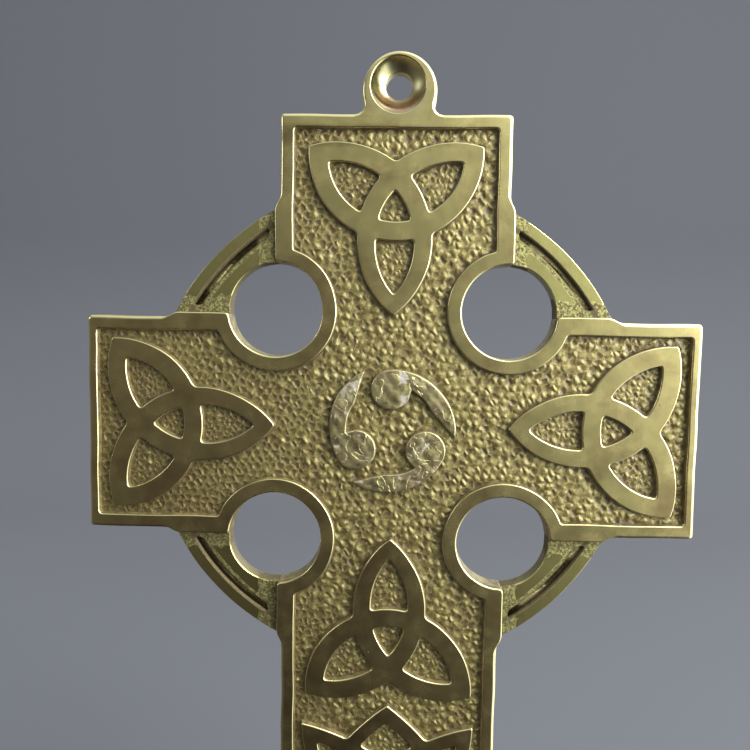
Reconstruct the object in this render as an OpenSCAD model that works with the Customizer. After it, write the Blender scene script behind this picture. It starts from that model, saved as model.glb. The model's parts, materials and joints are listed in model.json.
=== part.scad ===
// Cast brass Celtic wall cross: a ringed Latin cross with a pebbled ground, a raised border, knots in
// relief and a countersunk hanging eye.
// The back lies on the plane y = 0 and the front faces -Y. +Z is up.
// The origin is on the axis of the hanging hole, where the hole leaves the back.
// Plan shapes are drawn flat in millimetres about the middle of the cross, X to the right and Y up.

/* [Overall] */
// Middle of the cross up to the top edge of the upper arm
top_reach = 63.1; // [58:0.1:75]
// Middle of the cross out to the end of each side arm
side_reach = 62.8; // [58:0.1:75]
// Middle of the cross down to the foot of the shaft
shaft_reach = 151.5; // [149:0.5:190]
// Half the height of a side arm
side_half = 22.15; // [21.5:0.05:23]
// Half the width of the upper arm
top_half = 23.3; // [22.5:0.05:23.8]
// Half the width of the shaft
shaft_half = 22.75; // [22:0.05:23.5]
// How far the upper arm stands to the right of the middle
top_shift = 0.25; // [0:0.05:0.5]
// How far the shaft stands to the right of the middle
shaft_shift = 0.45; // [0:0.05:0.6]
// How much wider each arm is on each side where it meets the ring
root_flare = 1; // [0.5:0.1:1.2]

/* [Thickness] */
// Back to the pebbled ground
ground_t = 3.9; // [3:0.1:4.5]
// Back to the tops of the border and the knots
relief_t = 5; // [4.6:0.1:6]
// Back to the face of the ring
ring_t = 3.5; // [2.5:0.1:3.8]
// Back to the floor of the groove in the ring
groove_floor_t = 2.9; // [2:0.1:3.3]

/* [Ring and holes] */
// Outer radius of the ring
ring_r = 50.5; // [48:0.1:52]
// Radius of the middle of the groove in the ring
groove_r = 47.2; // [46:0.1:48]
// Width of that groove
groove_w = 1.3; // [0.8:0.1:2]
// Middle of the cross to each hole, sideways and up or down
hole_at = 23.9; // [23:0.1:25]
// Radius of the four holes
hole_r = 9.7; // [9:0.1:10.2]
// Width of the collar round each hole
collar_w = 3.1; // [2.5:0.1:3.3]

/* [Border] */
// Width of the border along the arms and the shaft
border_w = 2.9; // [2:0.1:3.2]
// Width of the border across the ends of the side arms
side_end_w = 2.1; // [1.6:0.1:3]
// Where the border of the upper arm and the shaft passes into the collars
rim_from = 37; // [36.8:0.1:40]

/* [Hanging eye] */
// Radius of the hanging hole
bore_r = 2.7; // [2:0.1:3.2]
// Length of the straight wall of the hanging hole, from the back
bore_l = 2.2; // [1.5:0.1:3]
// Radius of the round dish at the front of the hole
dish_r = 5.6; // [5:0.1:6]
// Radius of the eye
eye_r = 7.5; // [7:0.1:9]
// Radius of the fillets where the eye meets the upper arm
eye_fillet_r = 1.8; // [1:0.1:2.5]
// How far the foot of the eye is let into the upper arm
eye_seat = 2; // [1:0.1:2.4]

/* [Knots] */
// Middle of the cross to the point of each three-cornered knot: upper, left, right and shaft
knot_points = [22.7, 23.7, 24, 23.3];
// Middle of the cross to the point of the knot at the foot
foot_point = 146.8; // [140:0.1:147]
// Width of the strands of the square knot
strand_w = 3.4; // [2.5:0.1:3.6]
// Middle of the cross down to the middle of the square knot
square_at = 85.1; // [84:0.1:86]
// Half the height of the square knot, at its upper and lower points
square_half_h = 25.7; // [25:0.1:26]
// Half the width of the square knot, at its side points
square_half_w = 19.2; // [18:0.1:19.4]

/* [Centre] */
// Radius of the whole three-comma whirl
whirl_r = 13.3; // [12:0.1:14]
// Radius of the head of each comma
head_r = 4.2; // [3.5:0.1:4.4]

/* [Hidden] */
$fn = 96;

brass = [0.71, 0.6, 0.32];
worn_brass = [0.78, 0.68, 0.4];
cast_brass = [0.55, 0.47, 0.24];

// Middle of the cross, seen from the hanging hole
middle_x = -0.4;
middle_z = -68.8;
// The hanging hole, seen from the middle of the cross
eye_at = [-middle_x, -middle_z];
// The eye is not quite concentric with its hole
eye_off = [0.35, -1];

// The arms narrow from the root width to the plain width between these distances from the middle
flare_from = 44.4;
flare_to = 46.4;
collar_r = hole_r + collar_w;
// Side arms are lower than the collars are wide, so their border starts at its own distance
side_rim_from = 36.8;
far = 200;

// Ball that hollows the dish: it passes the dish's rim at the front and the bore at its inner end
dish_gap = relief_t - bore_l;
dish_ball_in = (dish_r * dish_r - bore_r * bore_r - dish_gap * dish_gap) / (2 * dish_gap);
dish_ball_at = relief_t + dish_ball_in;
dish_ball_r = sqrt(dish_r * dish_r + dish_ball_in * dish_ball_in);

// Three-cornered knot, drawn with its point at the origin and its base towards +X
side_c = [15.6, 11.7];
side_r = 19.55;
side_inner_c = [15, 12.1];
side_inner_r = 15.9;
base_c = [32.9, 0];
base_r = 17.85;
base_inner_r = 13.6;

// Square knot: corners of the crossed leaves, and the radii of the leaf and lozenge sides
leaf_corner = [18.5, 21.3];
leaf_r = 46;
lozenge_r = 54.3;

// The whirl sits a little off the middle of the cross
whirl_at = [0.15, -0.6];
// Upper comma, seen from the middle of the whirl: its head, the round sweep of its outside, which
// touches the head, and its tail's inner side, which leaves the inner circle for the tip
head_at = [0, 0.63 * whirl_r];
sweep_at = [0.4, -0.5];
sweep_r = norm(head_at - sweep_at) + head_r;
tail_in_r = 0.7 * whirl_r;
tail_root = tail_in_r * [cos(24), sin(24)];
tail_tip = whirl_r * [cos(6), -sin(6)];

// Centre of the circle of radius r through p and q that lies to the right of the way from p to q
function arc_centre(p, q, r) =
    let (half = (q - p) / 2, run = norm(half), back = sqrt(r * r - run * run))
    p + half + [half[1], -half[0]] / run * back;

// Raises a plan shape from one height above the back to another, in the part's own frame
module layer(from, to) {
    translate([middle_x, 0, middle_z]) rotate([90, 0, 0])
        translate([0, 0, from]) linear_extrude(to - from) children();
}

// One arm of the cross towards +X, with its wider root
module arm(reach, half) {
    root = half + root_flare;
    polygon([[0, -root], [flare_from, -root], [flare_to, -half], [reach, -half],
        [reach, half], [flare_to, half], [flare_from, root], [0, root]]);
}

// Outline of all four arms, before the holes
module arms() {
    arm(side_reach, side_half);
    rotate(180) arm(side_reach, side_half);
    translate([top_shift, 0]) rotate(90) arm(top_reach, top_half);
    translate([shaft_shift, 0]) rotate(-90) arm(shaft_reach, shaft_half);
}

// The same round shape at each of the four holes
module at_holes() {
    for (side = [-1, 1], level = [-1, 1]) translate([side, level] * hole_at) children();
}

// Foot of the hanging eye, let into the upper arm
module eye_foot() {
    half = eye_foot_half();
    translate([eye_at[0] + eye_off[0] - half, top_reach - eye_seat]) square([2 * half, eye_seat]);
}

// Half the width of the eye's foot, where its fillets run out on the upper arm
function eye_foot_half() =
    let (drop = eye_at[1] + eye_off[1] - top_reach - eye_fillet_r)
    sqrt(pow(eye_r + eye_fillet_r, 2) - drop * drop);

// Plan of the plate: the arms without the holes and the seat of the eye
module plate_plan() {
    difference() {
        arms();
        at_holes() circle(hole_r);
        eye_foot();
    }
}

// Sunk ground inside the border
module ground_plan() {
    inner_half = side_half - border_w;
    inner_side = side_reach - side_end_w;
    inner_top = top_half - border_w;
    inner_shaft = shaft_half - border_w;
    difference() {
        union() {
            translate([-inner_side, -inner_half]) square([2 * inner_side, 2 * inner_half]);
            translate([top_shift - inner_top, 0]) square([2 * inner_top, top_reach - border_w]);
            translate([shaft_shift - inner_shaft, border_w - shaft_reach])
                square([2 * inner_shaft, shaft_reach - border_w]);
        }
        at_holes() circle(collar_r);
    }
}

// Raised border, cut to one region of the plan
module border(low, high) {
    color(brass) layer(ground_t, relief_t) intersection() {
        difference() {
            plate_plan();
            ground_plan();
        }
        translate(low) square(high - low);
    }
}

// Plate that all the relief stands on
module cross_plate() {
    color(cast_brass) layer(0, ground_t) plate_plan();
}

// Quarter of the ring: the sector between two arms
module ring_plan(side, level) {
    intersection() {
        difference() {
            circle(ring_r, $fn = 180);
            arms();
            at_holes() circle(hole_r);
        }
        translate([min(0, side * far), min(0, level * far)]) square(far);
    }
}

// Quarter of the ring with its groove
module ring_quarter(side, level) {
    color(brass) difference() {
        layer(0, ring_t) ring_plan(side, level);
        layer(groove_floor_t, ring_t + 1) difference() {
            circle(groove_r + groove_w / 2, $fn = 180);
            circle(groove_r - groove_w / 2, $fn = 180);
        }
    }
}

module collar(side, level) {
    low = [min(0, side * side_rim_from), min(0, level * rim_from)];
    border(low, low + [side_rim_from, rim_from]);
}

// Ring-shaped eye with its dish, its straight hole and its foot
module hanging_eye() {
    ring_at = eye_at + eye_off;
    foot_half = eye_foot_half();
    shoulder = top_reach + eye_fillet_r;
    // The fillets' cutters reach a little into the eye, so that they cross it cleanly
    bite = 0.03;
    color(brass) difference() {
        layer(0, relief_t) {
            intersection() {
                translate(ring_at) circle(eye_r);
                translate([ring_at[0] - eye_r, top_reach - eye_seat]) square(2 * eye_r);
            }
            eye_foot();
            difference() {
                polygon([ring_at, [ring_at[0] - foot_half, shoulder], [ring_at[0] - foot_half, top_reach],
                    [ring_at[0] + foot_half, top_reach], [ring_at[0] + foot_half, shoulder]]);
                for (side = [-1, 1])
                    translate([ring_at[0] + side * foot_half, shoulder]) circle(eye_fillet_r + bite);
            }
        }
        rotate([90, 0, 0]) translate([0, 0, -1]) cylinder(r = bore_r, h = relief_t + 2);
        translate([0, -dish_ball_at, 0]) rotate([90, 0, 0]) sphere(dish_ball_r);
    }
}

// One of the two side circles whose crossings outline the three-cornered knot
module knot_side(side, inner) {
    c = inner ? side_inner_c : side_c;
    translate([c[0], side * c[1]]) circle(inner ? side_inner_r : side_r);
}

module knot_base(inner) {
    translate(base_c) circle(inner ? base_inner_r : base_r);
}

// Three-cornered knot: three leaves that share one strand, with four openings
module knot_plan() {
    difference() {
        union() {
            intersection() { knot_side(1, false); knot_side(-1, false); }
            intersection() { knot_side(1, false); knot_base(false); }
            intersection() { knot_side(-1, false); knot_base(false); }
        }
        difference() {
            intersection() { knot_side(1, true); knot_side(-1, true); }
            knot_base(false);
        }
        intersection() { knot_side(1, true); knot_side(-1, true); knot_base(true); }
        for (side = [-1, 1]) difference() {
            intersection() { knot_side(side, true); knot_base(true); }
            knot_side(-side, false);
        }
    }
}

// Three-cornered knot at a distance from the middle, pointing at it
module three_knot(turn, point_at, shift = 0) {
    color(worn_brass) layer(ground_t, relief_t)
        translate([shift, 0]) rotate(turn) translate([point_at, 0]) knot_plan();
}

// Leaf with two round sides between one corner and the opposite one
module leaf(side, r) {
    tip = [side * leaf_corner[0], leaf_corner[1]];
    c = arc_centre(tip, -tip, leaf_r);
    intersection() {
        translate(c) circle(r);
        translate(-c) circle(r);
    }
}

// Lozenge with four round sides
module lozenge(r) {
    c = arc_centre([0, square_half_h], [square_half_w, 0], lozenge_r);
    intersection_for (side = [-1, 1], level = [-1, 1])
        translate([side * c[0], level * c[1]]) circle(r);
}

// Strand that follows the outline of its two children, the outer and the inner one
module strand() {
    difference() {
        children(0);
        children(1);
    }
}

// Two crossed leaves laced through a lozenge
module square_knot() {
    color(worn_brass) layer(ground_t, relief_t) translate([shaft_shift, -square_at]) {
        for (side = [-1, 1]) strand() {
            leaf(side, leaf_r);
            leaf(side, leaf_r - strand_w);
        }
        strand() {
            lozenge(lozenge_r);
            lozenge(lozenge_r - strand_w);
        }
    }
}

// Comma of the whirl: a round head and a tail that thins along the outside, clockwise
module comma(turn) {
    color(worn_brass) layer(ground_t, relief_t) translate(whirl_at) rotate(turn) {
        translate(head_at) circle(head_r);
        intersection() {
            difference() {
                translate(sweep_at) circle(sweep_r);
                circle(tail_in_r);
            }
            polygon([sweep_at, tail_root, tail_tip, 1.5 * tail_tip, far * [1, 1],
                sweep_at + far * (head_at - sweep_at)]);
        }
    }
}

// The knot at the foot of the shaft points down, away from the middle
module foot_knot() {
    translate([0, 0, -foot_point]) three_knot(90, 0, shaft_shift);
}

cross_plate();
ring_quarter(-1, 1);  // ring_upper_left
ring_quarter(1, 1);  // ring_upper_right
ring_quarter(-1, -1);  // ring_lower_left
ring_quarter(1, -1);  // ring_lower_right
border([-far, rim_from], [far, far]);  // rim_upper_arm
border([-far, -rim_from], [-side_rim_from, rim_from]);  // rim_left_arm
border([side_rim_from, -rim_from], [far, rim_from]);  // rim_right_arm
border([-far, -far], [far, -rim_from]);  // rim_shaft
collar(-1, 1);  // collar_upper_left
collar(1, 1);  // collar_upper_right
collar(-1, -1);  // collar_lower_left
collar(1, -1);  // collar_lower_right
hanging_eye();
three_knot(90, knot_points[0], top_shift);  // knot_upper_arm
three_knot(180, knot_points[1]);  // knot_left_arm
three_knot(0, knot_points[2]);  // knot_right_arm
three_knot(-90, knot_points[3], shaft_shift);  // knot_shaft
square_knot();
foot_knot();  // knot_foot
comma(0);  // comma_upper
comma(120);  // comma_left
comma(-120);  // comma_right
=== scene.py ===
"""Looks of the cast brass ringed wall cross: cast relief with draft and worn edges, a stippled ground,
domed commas, brass materials, a pale sweep and soft studio light.

Sizes are in millimetres until a mesh is made, heights are measured from the flat back, and plan points
are (x, z) in the part's own frame. A loop is a closed plan outline with the metal on its left."""
import json
import math

import bpy
import numpy as np
from mathutils import Matrix, Vector
from mathutils.geometry import delaunay_2d_cdt


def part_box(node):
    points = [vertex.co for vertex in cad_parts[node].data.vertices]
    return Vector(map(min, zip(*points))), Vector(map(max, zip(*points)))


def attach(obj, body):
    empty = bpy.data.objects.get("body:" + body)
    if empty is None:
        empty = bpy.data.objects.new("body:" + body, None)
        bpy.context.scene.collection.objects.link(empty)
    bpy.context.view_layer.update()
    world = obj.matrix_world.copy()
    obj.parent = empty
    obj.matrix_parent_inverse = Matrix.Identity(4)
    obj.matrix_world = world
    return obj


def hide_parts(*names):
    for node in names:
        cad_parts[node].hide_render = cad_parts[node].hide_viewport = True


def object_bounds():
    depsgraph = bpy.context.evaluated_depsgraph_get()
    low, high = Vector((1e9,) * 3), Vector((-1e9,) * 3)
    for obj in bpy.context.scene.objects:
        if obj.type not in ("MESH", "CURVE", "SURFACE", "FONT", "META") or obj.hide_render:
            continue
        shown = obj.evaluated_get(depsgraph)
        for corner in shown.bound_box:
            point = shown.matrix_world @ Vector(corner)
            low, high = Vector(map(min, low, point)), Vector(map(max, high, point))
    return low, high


MM = 0.001
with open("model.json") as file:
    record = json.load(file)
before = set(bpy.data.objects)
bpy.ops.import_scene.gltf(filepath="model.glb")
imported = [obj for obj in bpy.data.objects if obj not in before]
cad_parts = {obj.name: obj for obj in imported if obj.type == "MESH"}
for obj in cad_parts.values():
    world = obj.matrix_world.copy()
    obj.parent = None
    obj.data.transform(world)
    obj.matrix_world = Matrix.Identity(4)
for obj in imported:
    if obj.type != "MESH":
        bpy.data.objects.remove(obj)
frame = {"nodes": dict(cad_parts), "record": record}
CAD_BOX = [list(corner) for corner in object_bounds()]


# ---------------------------------------------------------------- sizes read from the frame

def box_mm(node):
    low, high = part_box(node)
    return np.array(low) / MM, np.array(high) / MM


def starting(*words):
    return [n for n in sorted(frame["nodes"]) if n.startswith(words)]


RIMS = starting("rim_", "collar_")
RINGS = starting("ring_")
COMMAS = starting("comma_")
KNOTS = starting("knot_", "square_knot")

GROUND_H = -box_mm("cross_plate")[0][1]
RELIEF_H = -box_mm("rim_upper_arm")[0][1]
RING_H = -box_mm("ring_upper_left")[0][1]
# Plan middle of the cross: halfway between the ends of the side arms, level with the holes' middles
plate_low, plate_high = box_mm("cross_plate")
hole_low, hole_high = box_mm("collar_upper_left")[1], box_mm("collar_lower_left")[0]
MIDDLE = np.array([(plate_low[0] + plate_high[0]) / 2, (hole_low[2] + hole_high[2]) / 2])
BORE_R, BORE_L = [frame["record"]["mounts"][0]["dims"][k] for k in ("r_mm", "length_mm")]
# Half widths of the arms where they meet the ring: of the upper arm and the shaft, and of the side arms
ARM_ROOT = (24.2, 23.2)
# Each hole's distance from the middle both ways, and radii of the holes, the ring and its groove
HOLE_AT, HOLE_R = 23.9, 9.7
RING_R, GROOVE_R, GROOVE_W = 50.5, 47.2, 1.3

# ---------------------------------------------------------------- sizes of the casting's finish

SPACING = 0.8          # plan distance between the points of an outline
CORNER_CLEAR = 2.0     # the nearest outline point to a corner
OUTER_ROUND = 0.40     # how far the rounding of an outward corner reaches along its sides
INNER_ROUND = 1.40     # the same in a corner of a recess
CORNER_STEPS = 5       # pieces in a corner's rounding
SINK = 0.5             # how far relief reaches below the ground, so that no gap shows
TURN_OF_CORNER = 22    # an outline turns more than this many degrees at a corner
WAVER = 0.07           # how far the hand-finished outlines stray
RING_BURIED = -0.6     # inset of a ring quarter's ends: below zero, so they reach into the arms
BORE_AT = (0.25, 0.5)  # middle of the hand-drilled hole, from the middle of the dish
COMMA_GRID = 0.28      # distance between the points of a comma's top

# Kinds of side: facing the ground, facing out, facing a ring hole, and against a neighbour
FIELD, OUTER, HOLE, JOINED = range(4)
# Edges from top to foot: depth below the top, inset from the drawn outline, and the angle of the
# surface away from facing the front
FIELD_EDGE = [(0.0, 0.48, 0), (0.014, 0.38, 12), (0.05, 0.30, 28), (0.115, 0.245, 46),
              (0.20, 0.205, 62), (0.32, 0.175, 74), (1.0, 0.01, 77), (1.1 + SINK, -0.10, 77)]
OUTER_EDGE = [(0.0, 0.75, 0), (0.017, 0.59, 12), (0.085, 0.40, 28), (0.22, 0.21, 46),
              (0.42, 0.075, 64), (0.62, 0.012, 80), (1.0, 0.0, 88), (1.1 + SINK, 0.0, 88)]
HOLE_EDGE = [(0.0, 0.34, 0), (0.012, 0.25, 14), (0.04, 0.17, 30), (0.09, 0.10, 48),
             (0.16, 0.055, 64), (0.28, 0.02, 78), (1.0, 0.0, 88), (1.1 + SINK, 0.0, 88)]
RELIEF_EDGE = [(FIELD_EDGE[k], OUTER_EDGE[k], HOLE_EDGE[k], FIELD_EDGE[k]) for k in range(8)]
# The wall between the front part and the back: height above the back, inset and angle
BACK_EDGE = [(0.45, -0.14, 92), (0.16, -0.10, 120), (0.04, 0.0, 150), (0.0, 0.12, 180)]


# ---------------------------------------------------------------- plan outlines

def front_loops(node, height=None):
    """Loops of the flat faces of a CAD node at one height, by default its front."""
    mesh = frame["nodes"][node].data
    co = np.zeros(len(mesh.vertices) * 3)
    mesh.vertices.foreach_get("co", co)
    co = co.reshape(-1, 3) / MM
    level = co[:, 1].min() if height is None else -height
    keys = [(round(x, 3), round(z, 3)) for x, _, z in co]
    edges = {}
    for poly in mesh.polygons:
        if all(abs(co[v, 1] - level) < 0.002 for v in poly.vertices):
            ring = [keys[v] for v in poly.vertices]
            for edge in zip(ring, ring[1:] + ring[:1]):
                edges[edge] = edges.get(edge, 0) + 1
    rim = [(a, b) for (a, b), uses in edges.items() if a != b and uses > edges.get((b, a), 0)]
    following = {}
    for a, b in sorted(rim):
        following.setdefault(a, []).append(b)
    loops = []
    while following:
        start = min(following)
        loop, here = [], start
        while here in following:
            loop.append(here)
            ways = following[here]
            here = ways.pop()
            if not ways:
                del following[loop[-1]]
            if here == start:
                break
        if len(loop) > 2:
            loops.append(np.array(loop))
    return loops


PLATE = front_loops("cross_plate")


def area_of(loop):
    x, z = loop.T
    return (x @ np.roll(z, -1) - z @ np.roll(x, -1)) / 2


def turns(loop):
    """Turn of the outline at each point, in degrees."""
    step = np.roll(loop, -1, 0) - loop
    way = np.arctan2(step[:, 1], step[:, 0])
    return np.degrees((way - np.roll(way, 1) + np.pi) % (2 * np.pi) - np.pi)


def joined_up(loop, reach):
    """The loop with each pair of neighbours closer than reach made one point."""
    after = np.roll(loop, -1, 0)
    close = np.hypot(*(after - loop).T) < reach
    return np.where(close[:, None], (loop + after) / 2, loop)[~np.roll(close, 1)]


def lengths(points):
    """Length along an open run up to each of its points."""
    return np.concatenate([[0], np.cumsum(np.hypot(*np.diff(points, axis=0).T))])


def at_lengths(points, at):
    """Points of an open run at some lengths along it."""
    return np.column_stack([np.interp(at, lengths(points), points[:, k]) for k in (0, 1)])


def even_run(points, clear):
    """Points spaced evenly along an open run between two corners, both corners left out."""
    end = lengths(points)[-1]
    room = end - 2 * clear
    if room > 0:
        return at_lengths(points, np.linspace(clear, end - clear, max(2, int(room / SPACING) + 1)))
    return at_lengths(points, [end / 2] if end > 1.2 * clear else [])


def prepared(loop, clear):
    """The loop with even spacing, and a flag for each point that is a corner."""
    corner = np.abs(turns(loop)) > TURN_OF_CORNER
    if not corner.any():
        closed = np.vstack([loop, loop[:1]])
        end = lengths(closed)[-1]
        ring = at_lengths(closed, np.linspace(0, end, max(24, int(end / SPACING)) + 1)[:-1])
        return ring, np.zeros(len(ring), bool)
    marks = np.flatnonzero(corner)
    ring, flags = [], []
    for k, start in enumerate(marks):
        end = marks[(k + 1) % len(marks)]
        count = (end - start) % len(loop) or len(loop)
        run = loop[(start + np.arange(count + 1)) % len(loop)]
        middle = even_run(run, clear)
        ring += [run[0], *middle]
        flags += [True] + [False] * len(middle)
    return np.array(ring), np.array(flags)


def near_segments(points, segments):
    """Distance from each point to the nearest of the segments (a, b)."""
    best = np.full(len(points), np.inf)
    for a, b in segments:
        along = b - a
        t = np.clip(((points - a) @ along) / (along @ along), 0, 1)
        best = np.minimum(best, np.hypot(*(points - a - t[:, None] * along).T))
    return best


def as_segments(loops):
    return [(p, q) for loop in loops for p, q in zip(loop, np.roll(loop, -1, 0))]


def waver(plan):
    """Slight hand-finished stray of the outlines: the same smooth field for every piece."""
    x, z = plan[:, 0], plan[:, 1]
    dx = np.sin(z / 2.9 + 0.6) + 0.7 * np.sin(x / 4.3 + z / 6.1 + 2.1) + 0.5 * np.sin(z / 1.7 - x / 3.1)
    dz = np.sin(x / 3.3 + 1.9) + 0.7 * np.sin(z / 4.7 - x / 5.3 + 0.4) + 0.5 * np.sin(x / 1.9 + z / 2.7)
    return plan + WAVER * np.column_stack([dx, dz]) / 1.6


# ---------------------------------------------------------------- meshes from loops

class Outline:
    """A loop whose sides move in by distances that depend on their kind, with rounded corners."""

    def __init__(self, loop, kinds=None, inner_round=INNER_ROUND, outer_round=OUTER_ROUND,
                 clear=CORNER_CLEAR):
        self.points, self.corner = prepared(loop, clear)
        middles = (self.points + np.roll(self.points, -1, 0)) / 2
        self.kind = np.full(len(self.points), FIELD) if kinds is None else kinds(middles)
        step = np.roll(self.points, -1, 0) - self.points
        self.length = np.hypot(*step.T)
        self.way = step / self.length[:, None]
        self.round = (outer_round, inner_round)

    def ring(self, level, joined_inset=0.0):
        """Points at one level, their outward normals, heights below the top and surface angles."""
        table = np.array(level, float)[self.kind]
        drop, inset, angle = table.T
        inset = np.where(self.kind == JOINED, joined_inset, inset)
        left = np.column_stack([-self.way[:, 1], self.way[:, 0]])
        points, normals, drops, angles = [], [], [], []
        for k in range(len(self.points)):
            n1, n2 = left[k - 1], left[k]
            cross = n1[0] * n2[1] - n1[1] * n2[0]
            if abs(cross) < 0.05:
                move = (n1 + n2) / 2 * (inset[k - 1] + inset[k]) / 2
            else:
                move = np.array([inset[k - 1] * n2[1] - inset[k] * n1[1],
                                 inset[k] * n1[0] - inset[k - 1] * n2[0]]) / cross
            place = self.points[k] + move
            free = [i for i in (k - 1, k) if self.kind[i] != JOINED]
            sides = free or [k - 1, k]
            spots, faces = [place], [-left[sides].sum(0)]
            if self.corner[k] and len(free) == 2:
                before = self.length[k - 1] + move @ self.way[k - 1]
                after = self.length[k] - move @ self.way[k]
                reach = min(self.round[int(cross < 0)], 0.45 * before, 0.45 * after)
                start, end = place - self.way[k - 1] * reach, place + self.way[k] * reach
                shares = np.linspace(0, 1, CORNER_STEPS + 1)
                spots = [(1 - t) ** 2 * start + 2 * t * (1 - t) * place + t * t * end for t in shares]
                faces = [-(1 - t) * n1 - t * n2 for t in shares]
            points += spots
            normals += faces
            drops += [drop[sides].mean()] * len(spots)
            angles += [angle[sides].mean()] * len(spots)
        normals = np.array(normals)
        normals /= np.maximum(np.hypot(*normals.T), 1e-9)[:, None]
        return np.array(points), normals, np.array(drops), np.array(angles)


def inside(points, segments):
    """Even-odd test of plan points against the sides of closed outlines."""
    odd = np.zeros(len(points), bool)
    x, z = points.T
    for (ax, az), (bx, bz) in segments:
        if abs(az - bz) > 1e-9:
            odd ^= ((az > z) != (bz > z)) & (x < (bx - ax) * (z - az) / (bz - az) + ax)
    return odd


def triangles(points, edges):
    """Triangles over the area inside closed edges, as indices into the points."""
    verts, _, faces, origin, _, _ = delaunay_2d_cdt(
        [Vector(p) for p in points.tolist()], edges.tolist(), [], 0, 1e-6)
    place = np.array([tuple(v) for v in verts])
    source = np.array([ids[0] if ids else -1 for ids in origin])
    tri = np.array([f for f in faces if len(f) == 3])
    tri = source[tri[inside(place[tri].mean(1), points[edges])]]
    return tri[(tri >= 0).all(1)]


def fill(loops, extra=()):
    """Triangles over loops, as indices into the loops' points one after another and then extra."""
    edges, start = [], 0
    for loop in loops:
        ids = np.arange(start, start + len(loop))
        edges.append(np.column_stack([ids, np.roll(ids, -1)]))
        start += len(loop)
    return triangles(np.vstack(loops + [extra] if len(extra) else loops), np.vstack(edges))


def finish_mesh(name, verts, faces, normals=None, shade=None, material=None, replaces=(), slot=None):
    """Object from points in millimetres (x, height above the back, z), placed and given its finish."""
    mesh = bpy.data.meshes.new(name)
    place = np.column_stack([verts[:, 0], -verts[:, 1], verts[:, 2]]) * MM
    mesh.from_pydata(place.tolist(), [], [list(map(int, f)) for f in faces])
    mesh.polygons.foreach_set("use_smooth", [True] * len(mesh.polygons))
    if normals is not None:
        turned = np.column_stack([normals[:, 0], -normals[:, 1], normals[:, 2]])
        mesh.normals_split_custom_set_from_vertices(turned.tolist())
    for key, values in (shade or {}).items():
        layer = mesh.attributes.new(key, "FLOAT", "POINT")
        layer.data.foreach_set("value", np.asarray(values, np.float32))
    mesh.materials.append(material)
    piece = bpy.data.objects.new(name, mesh)
    bpy.context.scene.collection.objects.link(piece)
    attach(piece, "root")
    if replaces:
        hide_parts(*replaces)


class Shell:
    """Closed solid made of stacked rings on each of its loops, with a cap at either end."""

    def __init__(self):
        self.verts, self.normals, self.faces, self.wear = [], [], [], []

    def add_ring(self, plan, normals, height, angle, wear):
        start = len(self.verts)
        plan = waver(plan)
        height, angle, wear = (np.broadcast_to(v, len(plan)) for v in (height, angle, wear))
        for (x, z), (nx, nz), h, a in zip(plan, normals, height, np.radians(angle)):
            self.verts.append((x, h, z))
            self.normals.append((nx * math.sin(a), math.cos(a), nz * math.sin(a)))
        self.wear += list(wear)
        return np.arange(start, start + len(plan))

    def add_walls(self, rings):
        """Walls between rings listed from the front to the back."""
        for upper, lower in zip(rings, rings[1:]):
            for a, b, c, d in zip(upper, lower, np.roll(lower, -1), np.roll(upper, -1)):
                self.faces.append((a, b, c, d))

    def add_caps(self, tops, bottoms):
        plan = np.array(self.verts)[:, [0, 2]]
        tri = fill([plan[ids] for ids in tops])
        front, back = np.concatenate(tops), np.concatenate(bottoms)
        self.faces += [tuple(front[t]) for t in tri]
        self.faces += [tuple(back[t[::-1]]) for t in tri]

    def done(self, name, **finish):
        finish_mesh(name, np.array(self.verts), self.faces, np.array(self.normals),
                    {"wear": self.wear}, **finish)


def wear_of(angle):
    """1 on a rounded edge, 0 on a flat top, -1 on a wall."""
    return np.where(angle < 8, 0.0, np.where(angle < 70, 1.0, -1.0))


def edge_rings(shell, outline, top, edge, joined_inset=0.0):
    rings = []
    for level in edge:
        plan, normals, drop, angle = outline.ring(level, joined_inset)
        rings.append(shell.add_ring(plan, normals, top - drop, angle, wear_of(angle)))
    return rings


def narrowed(edge, share):
    """The same rounding, smaller."""
    return [[(share * drop, share * inset, angle) for drop, inset, angle in level] for level in edge]


def back_rings(shell, outline, joined_inset=0.0):
    rings = []
    for height, inset, angle in BACK_EDGE:
        plan, normals, _, _ = outline.ring([(0, inset, angle)] * 4, joined_inset)
        rings.append(shell.add_ring(plan, normals, height, angle, wear_of(angle)))
    return rings


def relief(outlines, top, edge, shell=None, joined_inset=0.0):
    """Adds one closed relief shape to a shell."""
    shell = shell or Shell()
    stacks = [edge_rings(shell, outline, top, edge, joined_inset) for outline in outlines]
    for rings in stacks:
        shell.add_walls(rings)
    shell.add_caps([rings[0] for rings in stacks], [rings[-1] for rings in stacks])
    return shell


# ---------------------------------------------------------------- materials

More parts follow.
